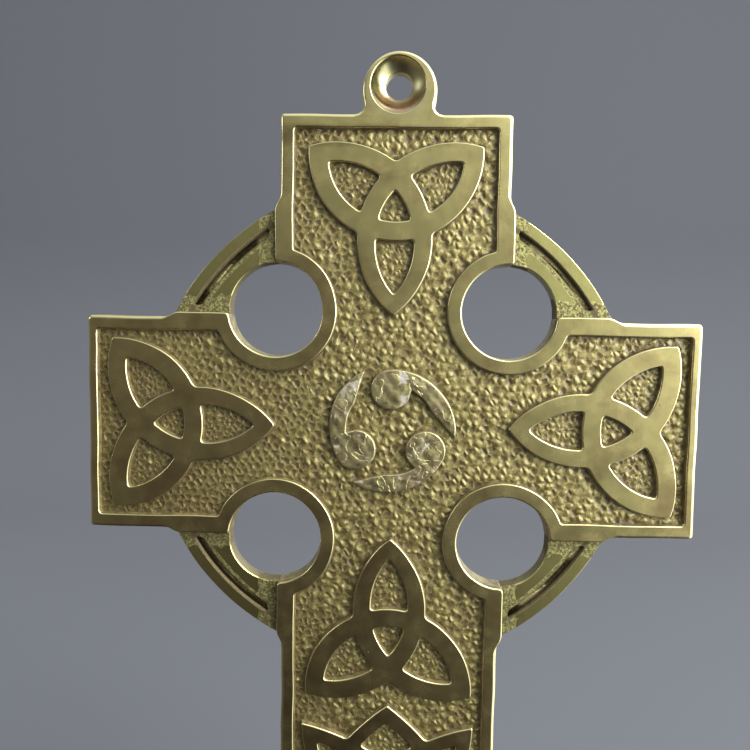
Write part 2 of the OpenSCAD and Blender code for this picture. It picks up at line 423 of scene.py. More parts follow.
class Nodes:
    """Short names for building the nodes of one material or of the world."""

    def __init__(self, owner, shader="ShaderNodeBsdfPrincipled", output="ShaderNodeOutputMaterial"):
        self.owner = owner
        owner.use_nodes = True
        self.tree = owner.node_tree
        self.tree.nodes.clear()
        self.shader = self.new(shader)
        self.new(output, {"Surface": self.shader.outputs[0]})
        self.places = self.new("ShaderNodeTexCoord").outputs

    def new(self, kind, values=None, **settings):
        """Node with some settings, and with values for its inputs, by their names or numbers."""
        node = self.tree.nodes.new(kind)
        for key, setting in settings.items():
            setattr(node, key, setting)
        for key, value in (values or {}).items():
            self.put(value, node.inputs[key])
        return node

    def put(self, value, target):
        if isinstance(value, bpy.types.NodeSocket):
            self.tree.links.new(value, target)
        else:
            target.default_value = value

    def set(self, **values):
        """Sets inputs of the shader."""
        for key, value in values.items():
            self.put(value, self.shader.inputs[key.replace("_", " ")])

    def axes(self):
        """The place's x, y and z, in metres."""
        return list(self.new("ShaderNodeSeparateXYZ", {0: self.places["Object"]}).outputs)

    def scaled(self, size, stretch=(1, 1, 1), turn=0.0):
        """The place in units of size millimetres, stretched along the axes."""
        values = {"Vector": self.places["Object"], "Scale": [s / (size * MM) for s in stretch],
                  "Rotation": (0, turn, 0)}
        return self.new("ShaderNodeMapping", values).outputs[0]

    def noise(self, size, detail=3.0, rough=0.55, distort=0.0, stretch=(1, 1, 1), turn=0.0):
        values = {"Vector": self.scaled(size, stretch, turn), "Scale": 1.0, "Detail": detail,
                  "Roughness": rough, "Distortion": distort}
        return self.new("ShaderNodeTexNoise", values).outputs["Fac"]

    def cells(self, size):
        values = {"Vector": self.scaled(size), "Scale": 1.0}
        return self.new("ShaderNodeTexVoronoi", values).outputs["Distance"]

    def attribute(self, name):
        return self.new("ShaderNodeAttribute", attribute_name=name).outputs["Fac"]

    def edge(self):
        """1 on rounded edges."""
        return self.remap(self.attribute("wear"), 0.05, 0.9)

    def wall(self):
        """1 on walls."""
        return self.remap(self.attribute("wear"), -0.25, -0.95)

    def math(self, how, a, b=0.0, clamp=False):
        return self.new("ShaderNodeMath", {0: a, 1: b}, operation=how, use_clamp=clamp).outputs[0]

    def times(self, a, b, clamp=False):
        return self.math("MULTIPLY", a, b, clamp)

    def plus(self, a, b):
        return self.math("ADD", a, b)

    def minus(self, a, b, clamp=False):
        return self.math("SUBTRACT", a, b, clamp)

    def least(self, a, b):
        return self.math("MINIMUM", a, b)

    def most(self, a, b):
        return self.math("MAXIMUM", a, b)

    def distance(self, a, b):
        return self.math("SQRT", self.plus(self.math("POWER", a, 2.0), self.math("POWER", b, 2.0)))

    def remap(self, value, low, high, to_low=0.0, to_high=1.0):
        values = {"Value": value, "From Min": low, "From Max": high, "To Min": to_low, "To Max": to_high}
        return self.new("ShaderNodeMapRange", values, interpolation_type="SMOOTHSTEP").outputs["Result"]

    def mix(self, factor, a, b):
        """Mixes two colours."""
        return self.new("ShaderNodeMix", {0: factor, 6: a, 7: b}, data_type="RGBA").outputs[2]

    def blend(self, factor, a, b):
        """Mixes two numbers."""
        return self.new("ShaderNodeMix", {0: factor, 2: a, 3: b}, data_type="FLOAT").outputs[0]

    def bump(self, height, distance, strength=1.0, below=None):
        values = {"Height": height, "Distance": distance * MM, "Strength": strength}
        if below is not None:
            values["Normal"] = below
        return self.new("ShaderNodeBump", values).outputs[0]


def metal(name):
    return Nodes(bpy.data.materials.new(name))


BRASS = (0.77, 0.655, 0.28, 1)
BRASS_PALE = (0.83, 0.75, 0.42, 1)
BRASS_OLIVE = (0.73, 0.665, 0.255, 1)
BRASS_BROWN = (0.52, 0.38, 0.17, 1)
COPPERY = (0.66, 0.36, 0.22, 1)
WHITISH = (0.70, 0.63, 0.58, 1)
TARNISH = (0.86, 0.76, 0.36, 1)
TARNISH_PINK = (0.80, 0.62, 0.37, 1)
DISH = (0.60, 0.56, 0.31, 1)
DISH_SHADED_LEFT = (0.47, 0.43, 0.22, 1)
CAST_PALE = (0.43, 0.41, 0.17, 1)
CAST_DARK = (0.17, 0.145, 0.065, 1)
# Brown used for dirt, and also for painted shade on walls and where the ground meets them
DIRT_AND_SHADE = (0.095, 0.064, 0.027, 1)
DULL = (0.273, 0.224, 0.082, 1)
DULL_PALE = (0.366, 0.313, 0.122, 1)
DULL_BROWN = (0.198, 0.141, 0.052, 1)
PAPER = (0.122, 0.125, 0.144, 1)


def soiled_and_shaded(n, colour, amount, **values):
    """Sets a metal with brown dirt and painted shade over part of it."""
    n.set(Base_Color=n.mix(amount, colour, DIRT_AND_SHADE), Metallic=n.remap(amount, 0.15, 1.0, 1.0, 0.25), **values)
    return n.owner


def sand_cast_back(n, colour, amount, rough):
    """Turns a finish into the back's sand-cast one, close to the plane of the back."""
    back = n.remap(n.axes()[1], -0.5 * MM, -0.05 * MM)
    lumps = n.noise(0.9, 5, 0.65)
    cast = n.mix(n.remap(n.noise(9, 4, 0.6), 0.4, 0.7), BRASS, BRASS_BROWN)
    amount = n.blend(back, amount, n.remap(lumps, 0.55, 0.4, 0.1, 0.75))
    return n.mix(back, colour, cast), amount, n.blend(back, rough, 0.5), lumps


def rubbed_corner(n):
    """Falls towards the upper arm's right-hand corner, which the belt has worn a little lower."""
    x, _, z = n.axes()
    return n.times(n.remap(z, -12.5 * MM, -7.5 * MM), n.remap(x, 0.0, 30 * MM, 1.0, 0.0))


def dish_finish(n, colour, amount, rough):
    """Changes the finish in the eye's dish, whose middle is the origin: darker on the left as painted shade
    that dims the lights' highlight there, smoother on the left, coppery below, clean outside the straight
    hole, and with one black pit."""
    x, _, z = n.axes()
    radius = n.distance(x, z)
    in_bowl = n.remap(radius, 5.7 * MM, 5.4 * MM)
    right = n.remap(x, -2.5 * MM, 0.5 * MM)
    # Painted shade: the dish is darker towards the left, to dim the highlight the lights put there
    colour = n.mix(in_bowl, colour, n.mix(right, DISH_SHADED_LEFT, DISH))
    copper = n.times(n.remap(radius, 5.4 * MM, 4.8 * MM), n.remap(n.noise(3.0, 3), 0.3, 0.6, 0.4, 1))
    copper = n.times(copper, n.remap(z, 0.5 * MM, -3.0 * MM))
    colour = n.mix(n.times(copper, 0.9), colour, COPPERY)
    amount = n.times(amount, n.remap(radius, 3.6 * MM, 2.9 * MM))
    rough = n.plus(rough, n.times(in_bowl, n.remap(right, 0.0, 1.0, -0.07, 0.04)))
    pit = n.remap(n.distance(n.plus(x, 4.0 * MM), n.plus(z, -3.2 * MM)), 0.42 * MM, 0.25 * MM)
    return colour, n.most(amount, n.times(pit, 0.9)), rough


def polished_brass(name, in_dish=False):
    """Tops ground flat on a belt and polished: fine scratches, faint stains, walls darkened by dirt and
    painted shade, bright edges.
    """
    n = metal(name)
    stains = n.remap(n.noise(12, 5, 0.6, 0.4), 0.44, 0.68)
    colour = n.mix(n.times(stains, 0.75), BRASS, BRASS_BROWN)
    colour = n.mix(n.times(n.edge(), 0.7), colour, BRASS_PALE)
    # Walls darkened partly by dirt and partly by painted shade
    amount = n.times(n.wall(), n.remap(n.noise(1.3, 3, 0.6), 0.3, 0.7, 0.7, 1.0))
    pits = n.times(n.remap(n.cells(3.1), 0.085, 0.03), n.remap(n.noise(9, 2), 0.5, 0.6))
    amount = n.most(amount, n.times(pits, 0.6))
    rough = n.remap(n.noise(5, 4, 0.6), 0.3, 0.7, 0.19, 0.29)
    rough = n.plus(rough, n.times(n.remap(n.attribute("wear"), -0.1, -0.9), 0.25))
    waves = n.bump(n.noise(8, 2, 0.5), 0.10, 0.5)
    if in_dish:
        colour, amount, rough = dish_finish(n, colour, amount, rough)
    else:
        waves = n.bump(rubbed_corner(n), 0.45, 1.0, waves)
    colour, amount, rough, _ = sand_cast_back(n, colour, amount, rough)
    belt = n.bump(n.noise(0.45, 3, 0.6, stretch=(1, 1, 0.06), turn=0.5), 0.005, 0.6, waves)
    cross = n.bump(n.noise(0.55, 3, 0.6, stretch=(0.05, 1, 1), turn=-0.3), 0.005, 0.6, belt)
    grain = n.bump(n.noise(0.35, 3, 0.65), 0.009, 0.5, cross)
    return soiled_and_shaded(n, colour, amount, Roughness=rough, Normal=grain)


def stippled_brass():
    """Cast ground of small bumps and pits, with old dirt in its low places, painted shade beside the
    relief's walls and a thin clear film.
    """
    n = metal("stippled_brass")
    low = n.attribute("pit")
    colour = n.mix(n.remap(n.noise(6, 4, 0.6), 0.35, 0.7, 0.1, 0.9), DULL, DULL_BROWN)
    colour = n.mix(n.remap(low, 0.35, 0.05, 0.0, 0.7), colour, DULL_PALE)
    amount = n.times(n.math("POWER", low, 1.3), 0.85)
    # Painted shade on the ground near the relief's walls, from the corner attribute
    amount = n.plus(amount, n.times(n.remap(n.attribute("corner"), 0.30, 0.95), 0.65))
    amount = n.plus(amount, n.times(n.attribute("inner"), 0.14))
    amount = n.times(amount, n.remap(n.noise(0.9, 3, 0.6), 0.25, 0.75, 0.55, 1.0), clamp=True)
    grains = n.bump(n.noise(0.62, 4, 0.7), 0.24, 0.8)
    fine = n.bump(n.noise(0.17, 3, 0.6), 0.02, 0.6, grains)
    return soiled_and_shaded(n, colour, amount, Roughness=n.remap(low, 0.0, 1.0, 0.56, 0.68), Normal=fine,
                  Coat_Weight=0.7, Coat_Roughness=0.34)


def ring_brass():
    """Lightly rubbed casting: smooth in the middle of each land, grainy by the arms and the groove."""
    n = metal("ring_brass")
    x, _, z = n.axes()
    away = [n.times(n.minus(way, middle * MM), 1 / MM) for way, middle in zip((x, z), MIDDLE)]
    past_arm = [n.minus(n.math("ABSOLUTE", way), half) for way, half in zip(away, ARM_ROOT)]
    radius = n.distance(*away)
    stray = n.noise(2.5, 3, 0.6)
    grainy = n.remap(n.plus(n.least(*past_arm), n.times(stray, 4.0)), 5.7, 4.9)
    to_groove = n.math("ABSOLUTE", n.minus(radius, GROOVE_R - 0.3))
    groove = n.remap(n.plus(to_groove, n.times(stray, 0.5)), 1.75, 1.45)
    outer_side = n.remap(n.plus(radius, n.times(stray, 0.4)), GROOVE_R - 0.05, GROOVE_R + 0.35)
    inner_side = n.times(groove, n.minus(1.0, outer_side))
    cast = n.most(grainy, groove)
    stains = n.remap(n.noise(8, 4, 0.6), 0.45, 0.75)
    smooth = n.mix(n.times(stains, 0.4), BRASS_OLIVE, BRASS_BROWN)
    smooth = n.mix(n.times(n.edge(), 0.4), smooth, BRASS_PALE)
    grain = n.noise(0.46, 4, 0.75)
    rough_cast = n.mix(n.remap(grain, 0.60, 0.44), CAST_PALE, CAST_DARK)
    # Dirt in the grain and on the groove's inner lip, painted shade along the groove's outer wall, and dirt
    # with painted shade on the other walls
    amount = n.times(cast, n.remap(grain, 0.54, 0.42, 0.0, 0.6))
    lip = n.remap(n.attribute("wear"), 0.0, 0.4, 0.0, 0.55)
    amount = n.most(amount, n.times(inner_side, lip))
    low = n.most(n.times(groove, outer_side), n.wall())
    low = n.times(low, n.minus(1.0, n.times(inner_side, 0.7)))
    amount = n.most(amount, n.times(low, 0.88))
    rough = n.remap(cast, 0.0, 1.0, 0.24, 0.56)
    colour, amount, rough, _ = sand_cast_back(n, n.mix(cast, smooth, rough_cast), amount, rough)
    waves = n.bump(n.noise(5, 2, 0.5), 0.10, 0.5)
    lumps = n.bump(grain, 0.16, n.times(cast, 0.9), waves)
    fine = n.bump(n.noise(0.4, 3, 0.6, stretch=(1, 1, 0.2)), 0.010, 0.6, lumps)
    return soiled_and_shaded(n, colour, amount, Roughness=rough, Normal=fine)


def burnished_brass():
    """Commas rubbed bright over a hammered casting, with whitish patches and creases."""
    n = metal("burnished_brass")
    wear = n.attribute("wear")
    stains = n.remap(n.noise(4.5, 4, 0.6), 0.40, 0.64)
    colour = n.mix(n.times(stains, 0.7), TARNISH, TARNISH_PINK)
    top = n.minus(1.0, n.math("ABSOLUTE", wear), clamp=True)
    patches = n.times(n.remap(n.noise(3.6, 4, 0.6, 0.8), 0.57, 0.68), top)
    colour = n.mix(patches, colour, WHITISH)
    colour = n.mix(n.remap(wear, 0.1, 0.9), colour, BRASS_PALE)
    # Walls darkened partly by dirt and partly by painted shade
    colour = n.mix(n.times(n.wall(), 0.7), colour, DIRT_AND_SHADE)
    dull = n.most(n.times(patches, 0.6), n.times(n.wall(), 0.5))
    rough = n.remap(n.noise(2.2, 4, 0.6), 0.3, 0.7, 0.24, 0.38)
    waves = n.bump(n.noise(2.6, 3, 0.5), 0.30, 0.6)
    crease = n.math("ABSOLUTE", n.minus(n.noise(6.5, 2, 0.5, 1.5), 0.5))
    creases = n.bump(n.remap(crease, 0.0, 0.012), 0.06, 0.5, waves)
    fine = n.bump(n.noise(0.3, 3, 0.6), 0.01, 0.6, creases)
    n.set(Base_Color=colour, Metallic=n.minus(1.0, dull), Roughness=rough, Normal=fine)
    return n.owner


def cast_brass():
    """Plate: sand-cast back, and sides rough from the sand and stained."""
    n = metal("cast_brass")
    colour = n.mix(n.remap(n.noise(9, 4, 0.6), 0.4, 0.7), BRASS, BRASS_BROWN)
    sides = n.remap(n.noise(1.5, 3, 0.6), 0.3, 0.7, 0.6, 0.95)
    colour, amount, rough, lumps = sand_cast_back(n, colour, sides, 0.36)
    sand = n.bump(lumps, 0.12, 0.6)
    file_marks = n.bump(n.noise(0.4, 3, 0.6, stretch=(1, 0.15, 1)), 0.012, 0.7, sand)
    return soiled_and_shaded(n, colour, amount, Roughness=rough, Normal=file_marks)


def sweep_paper():
    """Matt paper, very slightly uneven in tone."""
    n = Nodes(bpy.data.materials.new("sweep_paper"))
    shade = n.remap(n.noise(60, 3, 0.5), 0.3, 0.7, 0.96, 1.0)
    n.set(Base_Color=n.mix(shade, tuple(0.9 * c for c in PAPER[:3]) + (1,), PAPER), Roughness=0.9)
    return n.owner


# ---------------------------------------------------------------- pieces

def side_kinds(joined=(), outer=()):
    """Tells the kind of each side from its middle point."""
    joined, outer = as_segments(joined), as_segments(outer)
    holes = np.array([MIDDLE + HOLE_AT * np.array([x, z]) for x in (-1, 1) for z in (-1, 1)])

    def kinds(points):
        found = np.full(len(points), FIELD)
        if outer:
            found[near_segments(points, outer) < 0.1] = OUTER
            to_hole = np.min([np.hypot(*(points - hole).T) for hole in holes], axis=0)
            by_ring = np.hypot(*(points - MIDDLE).T) < RING_R + 1
            found[(found == OUTER) & ((to_hole < HOLE_R + 0.3) | by_ring)] = HOLE
        if joined:
            found[near_segments(points, joined) < 0.1] = JOINED
        return found
    return kinds


def border_kinds(name):
    """Kinds of the sides of a rim or collar, whose neighbours are the other ones and the eye."""
    others = [loop for n in RIMS + ["hanging_eye"] if n != name for loop in front_loops(n)]
    return side_kinds(others, PLATE)


def make_border():
    """Rims and collars: each meets its neighbours face to face, so a joined side keeps its place."""
    for name in RIMS:
        kinds = border_kinds(name)
        outlines = [Outline(loop, kinds, outer_round=0.8) for loop in front_loops(name)]
        relief(outlines, RELIEF_H, RELIEF_EDGE).done(
            name + "_cast", material=POLISHED, replaces=[name], slot="polished_border")


def make_plate():
    """Slab under the ground and the border, with its walls and back."""
    shell = Shell()
    kinds = side_kinds(front_loops("hanging_eye"), PLATE)
    outline = Outline(PLATE[0], kinds, outer_round=0.8)
    foot = [RELIEF_EDGE[-1]]
    rings = edge_rings(shell, outline, RELIEF_H, foot) + back_rings(shell, outline)
    shell.add_walls(rings)
    shell.add_caps([rings[0]], [rings[-1]])
    shell.done("cross_plate_cast", material=CAST, replaces=["cross_plate"], slot="cast_ground")


def make_eye():
    """Eye: outline with rounded edges, round lip, bowl-shaped dish and straight hole."""
    loops = sorted(front_loops("hanging_eye"), key=lambda loop: np.ptp(loop, 0).max())
    dish, outside = loops[0], loops[-1]
    shell = Shell()
    outline = Outline(outside, side_kinds(front_loops("rim_upper_arm"), [outside]), clear=0.8)
    edge = narrowed(RELIEF_EDGE[:-1], 0.85)
    rings = edge_rings(shell, outline, RELIEF_H, edge) + back_rings(shell, outline)
    shell.add_walls(rings)
    # The bowl is part of a ball that passes the dish's lip and the inner end of the straight hole
    dish_r = np.ptp(dish[:, 0]) / 2
    depth = RELIEF_H - BORE_L
    ball_over = (dish_r ** 2 - BORE_R ** 2 - depth ** 2) / (2 * depth)
    ball_r = math.hypot(dish_r, ball_over)
    profile = [(RELIEF_H, dish_r + 0.14, 0), (RELIEF_H - 0.012, dish_r + 0.10, 14),
               (RELIEF_H - 0.05, dish_r + 0.05, 28), (RELIEF_H - 0.12, dish_r - 0.02, 44)]
    for height in np.linspace(RELIEF_H - 0.3, BORE_L + 0.12, 9):
        radius = math.sqrt(ball_r ** 2 - (RELIEF_H + ball_over - height) ** 2)
        profile.append((height, radius, math.degrees(math.asin(radius / ball_r))))
    profile += [(BORE_L - 0.05, BORE_R + 0.02, 62), (BORE_L - 0.3, BORE_R, 90), (0.35, BORE_R, 90),
                (0.1, BORE_R + 0.06, 125), (0.0, BORE_R + 0.25, 180)]
    turn = -np.linspace(0, 2 * math.pi, 97)[:-1]
    spokes = np.column_stack([np.cos(turn), np.sin(turn)])
    dish_rings = []
    for height, radius, angle in profile:
        down = min(1.0, (RELIEF_H - height) / depth)
        plan = spokes * radius + down * np.array(BORE_AT)
        wear = 0.6 if height > RELIEF_H - 0.2 else -0.3
        dish_rings.append(shell.add_ring(plan, -spokes, height, angle, wear))
    shell.add_walls(dish_rings)
    shell.add_caps([rings[0], dish_rings[0]], [rings[-1], dish_rings[-1]])
    shell.done("hanging_eye_cast", material=EYE, replaces=["hanging_eye"], slot="polished_eye")


def make_ring(name):
    """Quarter of the ring: a slab as high as the groove's floor, with a land on either side of it."""
    backs = [loop[::-1] for loop in front_loops(name, 0.0)]
    kinds = side_kinds(PLATE, backs)
    floor_h = groove_floor(name)
    shell = Shell()
    for loop in backs:
        outline = Outline(loop, kinds)
        rings = edge_rings(shell, outline, floor_h, [[(0, 0.04, 88)] * 4], RING_BURIED)
        rings += back_rings(shell, outline, RING_BURIED)
        shell.add_walls(rings)
        shell.add_caps([rings[0]], [rings[-1]])
    groove = RING_H - floor_h
    outer = [(0.0, 0.19, 0), (0.008, 0.14, 12), (0.026, 0.09, 28), (0.06, 0.06, 46), (0.11, 0.045, 64),
             (groove + 0.1, 0.04, 88)]
    field = [(0.0, 0.45, 0), (0.015, 0.34, 12), (0.05, 0.24, 26), (0.13, 0.14, 42), (0.26, 0.05, 55),
             (groove + 0.1, -0.10, 66)]
    edge = [(f, o, o, f) for f, o in zip(field, outer)]
    lands = front_loops(name)
    for loop in lands:
        relief([Outline(loop, kinds)], RING_H, edge, shell, RING_BURIED)
    side = np.sign(lands[0].mean(0) - MIDDLE)
    for upright in (False, True):
        end = Outline(groove_end(side, upright), clear=0.5)
        relief([end], RING_H - 0.03, narrowed(edge[:-1], 0.5) + edge[-1:], shell)
    shell.done(name + "_cast", material=RING, replaces=[name], slot="cast_ring")


def groove_end(side, upright):
    """Outline of the filled end of the groove: it reaches from inside the arm to the groove's round end,
    and laps over the lands on either side with two horns."""
    half, reach, buried = GROOVE_W / 2 + 0.25, 1.5, 3.0
    lap = half + 1.1
    arm = ARM_ROOT[0] if upright else ARM_ROOT[1]
    round_end = [(reach + half * (1 - math.sin(a)), half * math.cos(a))
                 for a in np.linspace(0.1, math.pi - 0.1, 13)]
    loop = []
    corners = [(-buried, lap), (reach + half, lap), *round_end, (reach + half, -lap), (-buried, -lap)]
    for along, out in corners:
        radius = GROOVE_R + out
        turn = math.asin(arm / radius) + along / GROOVE_R
        place = np.array([math.cos(turn), math.sin(turn)]) * radius
        loop.append(MIDDLE + side * (place[::-1] if upright else place))
    loop = np.array(loop)
    return loop if area_of(loop) > 0 else loop[::-1]


def groove_floor(name):
    """Height of the groove's floor: the level of the node next below its face."""
    mesh = frame["nodes"][name].data
    heights = sorted({round(-v.co.y / MM, 2) for v in mesh.vertices})
    return [h for h in heights if 0.1 < h < RING_H - 0.1][-1]


def make_knot(name):
    outlines = [Outline(loop) for loop in front_loops(name)]
    relief(outlines, RELIEF_H, RELIEF_EDGE).done(
        name + "_cast", material=POLISHED, replaces=[name], slot="polished_knot")


def make_comma(name):
    """Comma with a slightly domed, hammered top."""
    outline = Outline(joined_up(front_loops(name)[0], 0.26), inner_round=0.3, outer_round=0.3)
    shell = Shell()
    rings = edge_rings(shell, outline, RELIEF_H, narrowed(RELIEF_EDGE[:-1], 0.6) + RELIEF_EDGE[-1:])
    shell.add_walls(rings)
    rim, foot = (np.array(shell.verts)[ring][:, [0, 2]] for ring in (rings[0], rings[-1]))
    low, high = rim.min(0), rim.max(0)
    spans = [np.arange(start, end, COMMA_GRID) for start, end in zip(low, high)]
    grid = np.stack(np.meshgrid(*spans), -1)
    grid[1::2, :, 0] += COMMA_GRID / 2
    grid = grid.reshape(-1, 2)
    sides = as_segments([rim])
    grid = grid[inside(grid, sides)]
    depth = near_segments(grid, sides)
    clear = depth > COMMA_GRID / 2
    grid, depth = grid[clear], depth[clear]
    x, z = grid.T
    dents = np.sin(x * 1.9 + 0.8) * np.sin(z * 1.7 + 0.5) + 0.7 * np.sin(x * 1.1 - z * 1.5 + 1.0)
    height = RELIEF_H + np.clip(depth / 1.3, 0, 1) * (0.03 + 0.055 * dents)
    ids = np.concatenate([rings[0], len(shell.verts) + np.arange(len(grid))])
    shell.verts += list(zip(x, height, z))
    shell.wear += [0.0] * len(grid)
    shell.faces += [tuple(ids[t]) for t in fill([rim], grid)]
    shell.faces += [tuple(rings[-1][t[::-1]]) for t in fill([foot])]
    finish_mesh(name + "_cast", np.array(shell.verts), shell.faces, None, {"wear": shell.wear},
                material=BURNISHED, replaces=[name], slot="burnished_whirl")


# ---------------------------------------------------------------- stippled ground

PITCH = 1.66           # distance between the bumps
SWELL = 0.21           # height of the bumps, and depth of the pits
GRID = 0.2             # distance between the points of the ground
FINE = 0.76            # size of the bumps inside the knots' openings
EAVES = 0.7            # how far the ground reaches under the border
UNDERSIDE = GROUND_H - SINK - 0.4
# Cuts between the ground's patches, from the middle of the cross: half the middle patch, half the height
# of the side patches, and down to where the shaft's is cut in two
CORE, SIDE_HALF, SHAFT_CUT = 20, 24, 86


def cell(i, j):
    """Place, size, strength and choice number of cell (i, j), scattered about a hexagonal grid."""
    seeds = [(12.9898, 78.233), (39.346, 11.135), (73.156, 52.235), (26.651, 94.673), (51.37, 31.77)]
    r = [np.modf(np.abs(np.sin(i * a + j * b)) * 43758.5453)[0] for a, b in seeds]
    x = (i + 0.5 * (j % 2) + 0.62 * (r[0] - 0.5)) * PITCH
    z = (j + 0.62 * (r[1] - 0.5)) * PITCH * math.sqrt(3) / 2
    return x, z, 0.82 + 0.36 * r[2], 0.55 + 0.9 * r[3], r[4]


def stipple(x, z):
    """Height of the ground from -1 at the bottom of a pit to 1 on a bump, and how dirty it is."""
    i0, j0 = np.floor(x / PITCH), np.floor(z / PITCH / math.sqrt(0.75))
    first, second = np.full(x.shape, 9.0), np.full(x.shape, 9.0)
    strength, choice = np.ones(x.shape), np.ones(x.shape)
    for dj in (-2, -1, 0, 1, 2):
        for di in (-2, -1, 0, 1, 2):
            cx, cz, size, power, lot = cell(i0 + di, j0 + dj)
            away = np.hypot(x - cx, z - cz) / size
            nearer = away < first
            second = np.where(nearer, first, np.minimum(second, away))
            strength = np.where(nearer, power, strength)
            choice = np.where(nearer, lot, choice)
            first = np.minimum(first, away)
    gap = np.clip((second - first) / (0.62 * PITCH), 0, 1)
    gap = gap * gap * (3 - 2 * gap)
    crown = np.exp(-(first / (0.46 * PITCH)) ** 2)
    shape = gap ** 0.7 * crown
    # Punched pits at the left of the cross give way to a mixture of bumps and pits further right
    bumps = np.clip((x - MIDDLE[0] + 20) / 22, 0.06, 0.62)
    is_bump = choice < bumps
    height = np.where(is_bump, strength * shape, -0.85 * strength * shape)
    dirty = np.where(is_bump, 0.32 * (1 - crown), np.clip(1.2 * strength * shape, 0, 1) ** 0.8)
    return height, dirty


def ground_height(x, z, scale):
    """Height of the ground above the back."""
    roll = np.sin(x / 5.1 + 0.7) * np.sin(z / 4.3 + 1.1) + 0.6 * np.sin(x / 2.2 - z / 3.7)
    grit = np.sin(x * 9.1 + 2 * np.sin(z * 5.3)) * np.sin(z * 8.3 + 2 * np.sin(x * 4.7))
    bent = (x + 0.16 * np.sin(2.9 * z + 1.3 * x), z + 0.16 * np.sin(3.3 * x - 1.1 * z))
    rough = 0.03 * roll + 0.018 * grit + SWELL * scale * stipple(bent[0] / scale, bent[1] / scale)[0]
    return GROUND_H - 0.03 + rough


def ground_normals(x, z, scale, reach=0.05):
    """Normals of the ground from its slopes, so that neighbouring patches match."""
    slopes = []
    for dx, dz in ((reach, 0), (0, reach)):
        rise = ground_height(x + dx, z + dz, scale) - ground_height(x - dx, z - dz, scale)
        slopes.append(rise / (2 * reach))
    normals = np.column_stack([-slopes[0], np.ones(len(x)), -slopes[1]])
    return normals / np.linalg.norm(normals, axis=1)[:, None]


def grid_distance(x, z, segments, reach):
    """Distance from the points of a grid to the nearest segment, looking no further than reach."""
    best = np.full((len(z), len(x)), reach)
    for a, b in segments:
        i0, i1 = np.searchsorted(x, (min(a[0], b[0]) - reach, max(a[0], b[0]) + reach))
        j0, j1 = np.searchsorted(z, (min(a[1], b[1]) - reach, max(a[1], b[1]) + reach))
        if i0 == i1 or j0 == j1:
            continue
        gx, gz = np.meshgrid(x[i0:i1] - a[0], z[j0:j1] - a[1])
        along = b - a
        t = np.clip((gx * along[0] + gz * along[1]) / (along @ along), 0, 1)
        away = np.hypot(gx - t * along[0], gz - t * along[1])
        best[j0:j1, i0:i1] = np.minimum(best[j0:j1, i0:i1], away)
    return best.ravel()


def make_ground():
    """Stippled skin over the plate, in patches, reaching a little under the border."""
    rims = [loop for name in RIMS + ["hanging_eye"] for loop in front_loops(name)]
    raised = [loop for name in KNOTS + COMMAS for loop in front_loops(name)]
    openings = [loop for loop in raised if area_of(loop) < 0]
    segments = []
    for name in RIMS:
        kinds = border_kinds(name)
        for loop in front_loops(name):
            facing = kinds((loop + np.roll(loop, -1, 0)) / 2) == FIELD
            segments += [side for side, ok in zip(as_segments([loop]), facing) if ok]
    walls = segments + as_segments(raised)
    left, right = PLATE[0].min(0)[0], PLATE[0].max(0)[0]
    top, foot = box_mm("knot_upper_arm")[1][2] + 4, box_mm("knot_foot")[0][2] - 4
    half = -box_mm("rim_shaft")[0][0]
    mx, mz = MIDDLE
    side_arms = (mz - SIDE_HALF, mz + SIDE_HALF)
    cuts = {"upper": (-half, half, mz + CORE, top),
            "left": (left, mx - CORE, *side_arms),
            "right": (mx + CORE, right, *side_arms),
            "middle": (mx - CORE, mx + CORE, mz - CORE, mz + CORE),
            "shaft_upper": (-half, half, mz - SHAFT_CUT, mz - CORE),
            "shaft_lower": (-half, half, foot, mz - SHAFT_CUT)}
    for name, (x0, x1, z0, z1) in cuts.items():
        xs = np.linspace(x0, x1, int(round((x1 - x0) / GRID)) + 1)
        zs = np.linspace(z0, z1, int(round((z1 - z0) / GRID)) + 1)
        x, z = (side.ravel() for side in np.meshgrid(xs, zs))
        points = np.column_stack([x, z])
        in_plate, under, in_opening = (
            inside(points, as_segments(loops)) for loops in (PLATE, rims, openings))
        keep = in_plate & ~(under & (grid_distance(xs, zs, segments, 2.0) > EAVES))
        scale = np.where(in_opening, FINE, 1.0)
        dirty = stipple(x / scale, z / scale)[1]
        # Nearness to a wall of the relief, used to paint shade on the ground there
        corner = np.clip(1 - grid_distance(xs, zs, walls, 1.2) / 1.2, 0, 1)
        keep = keep.reshape(len(zs), len(xs))
        whole = keep[:-1, :-1] & keep[1:, :-1] & keep[:-1, 1:] & keep[1:, 1:]
        number = np.arange(len(points)).reshape(len(zs), len(xs))
        corners = (number[:-1, :-1], number[:-1, 1:], number[1:, 1:], number[1:, :-1])
        quads = np.column_stack([each[whole] for each in corners])
        patch(f"ground_{name}", points, ground_height(x, z, scale), ground_normals(x, z, scale),
              {"pit": dirty, "corner": corner, "inner": (scale < 1).astype(float)}, quads)


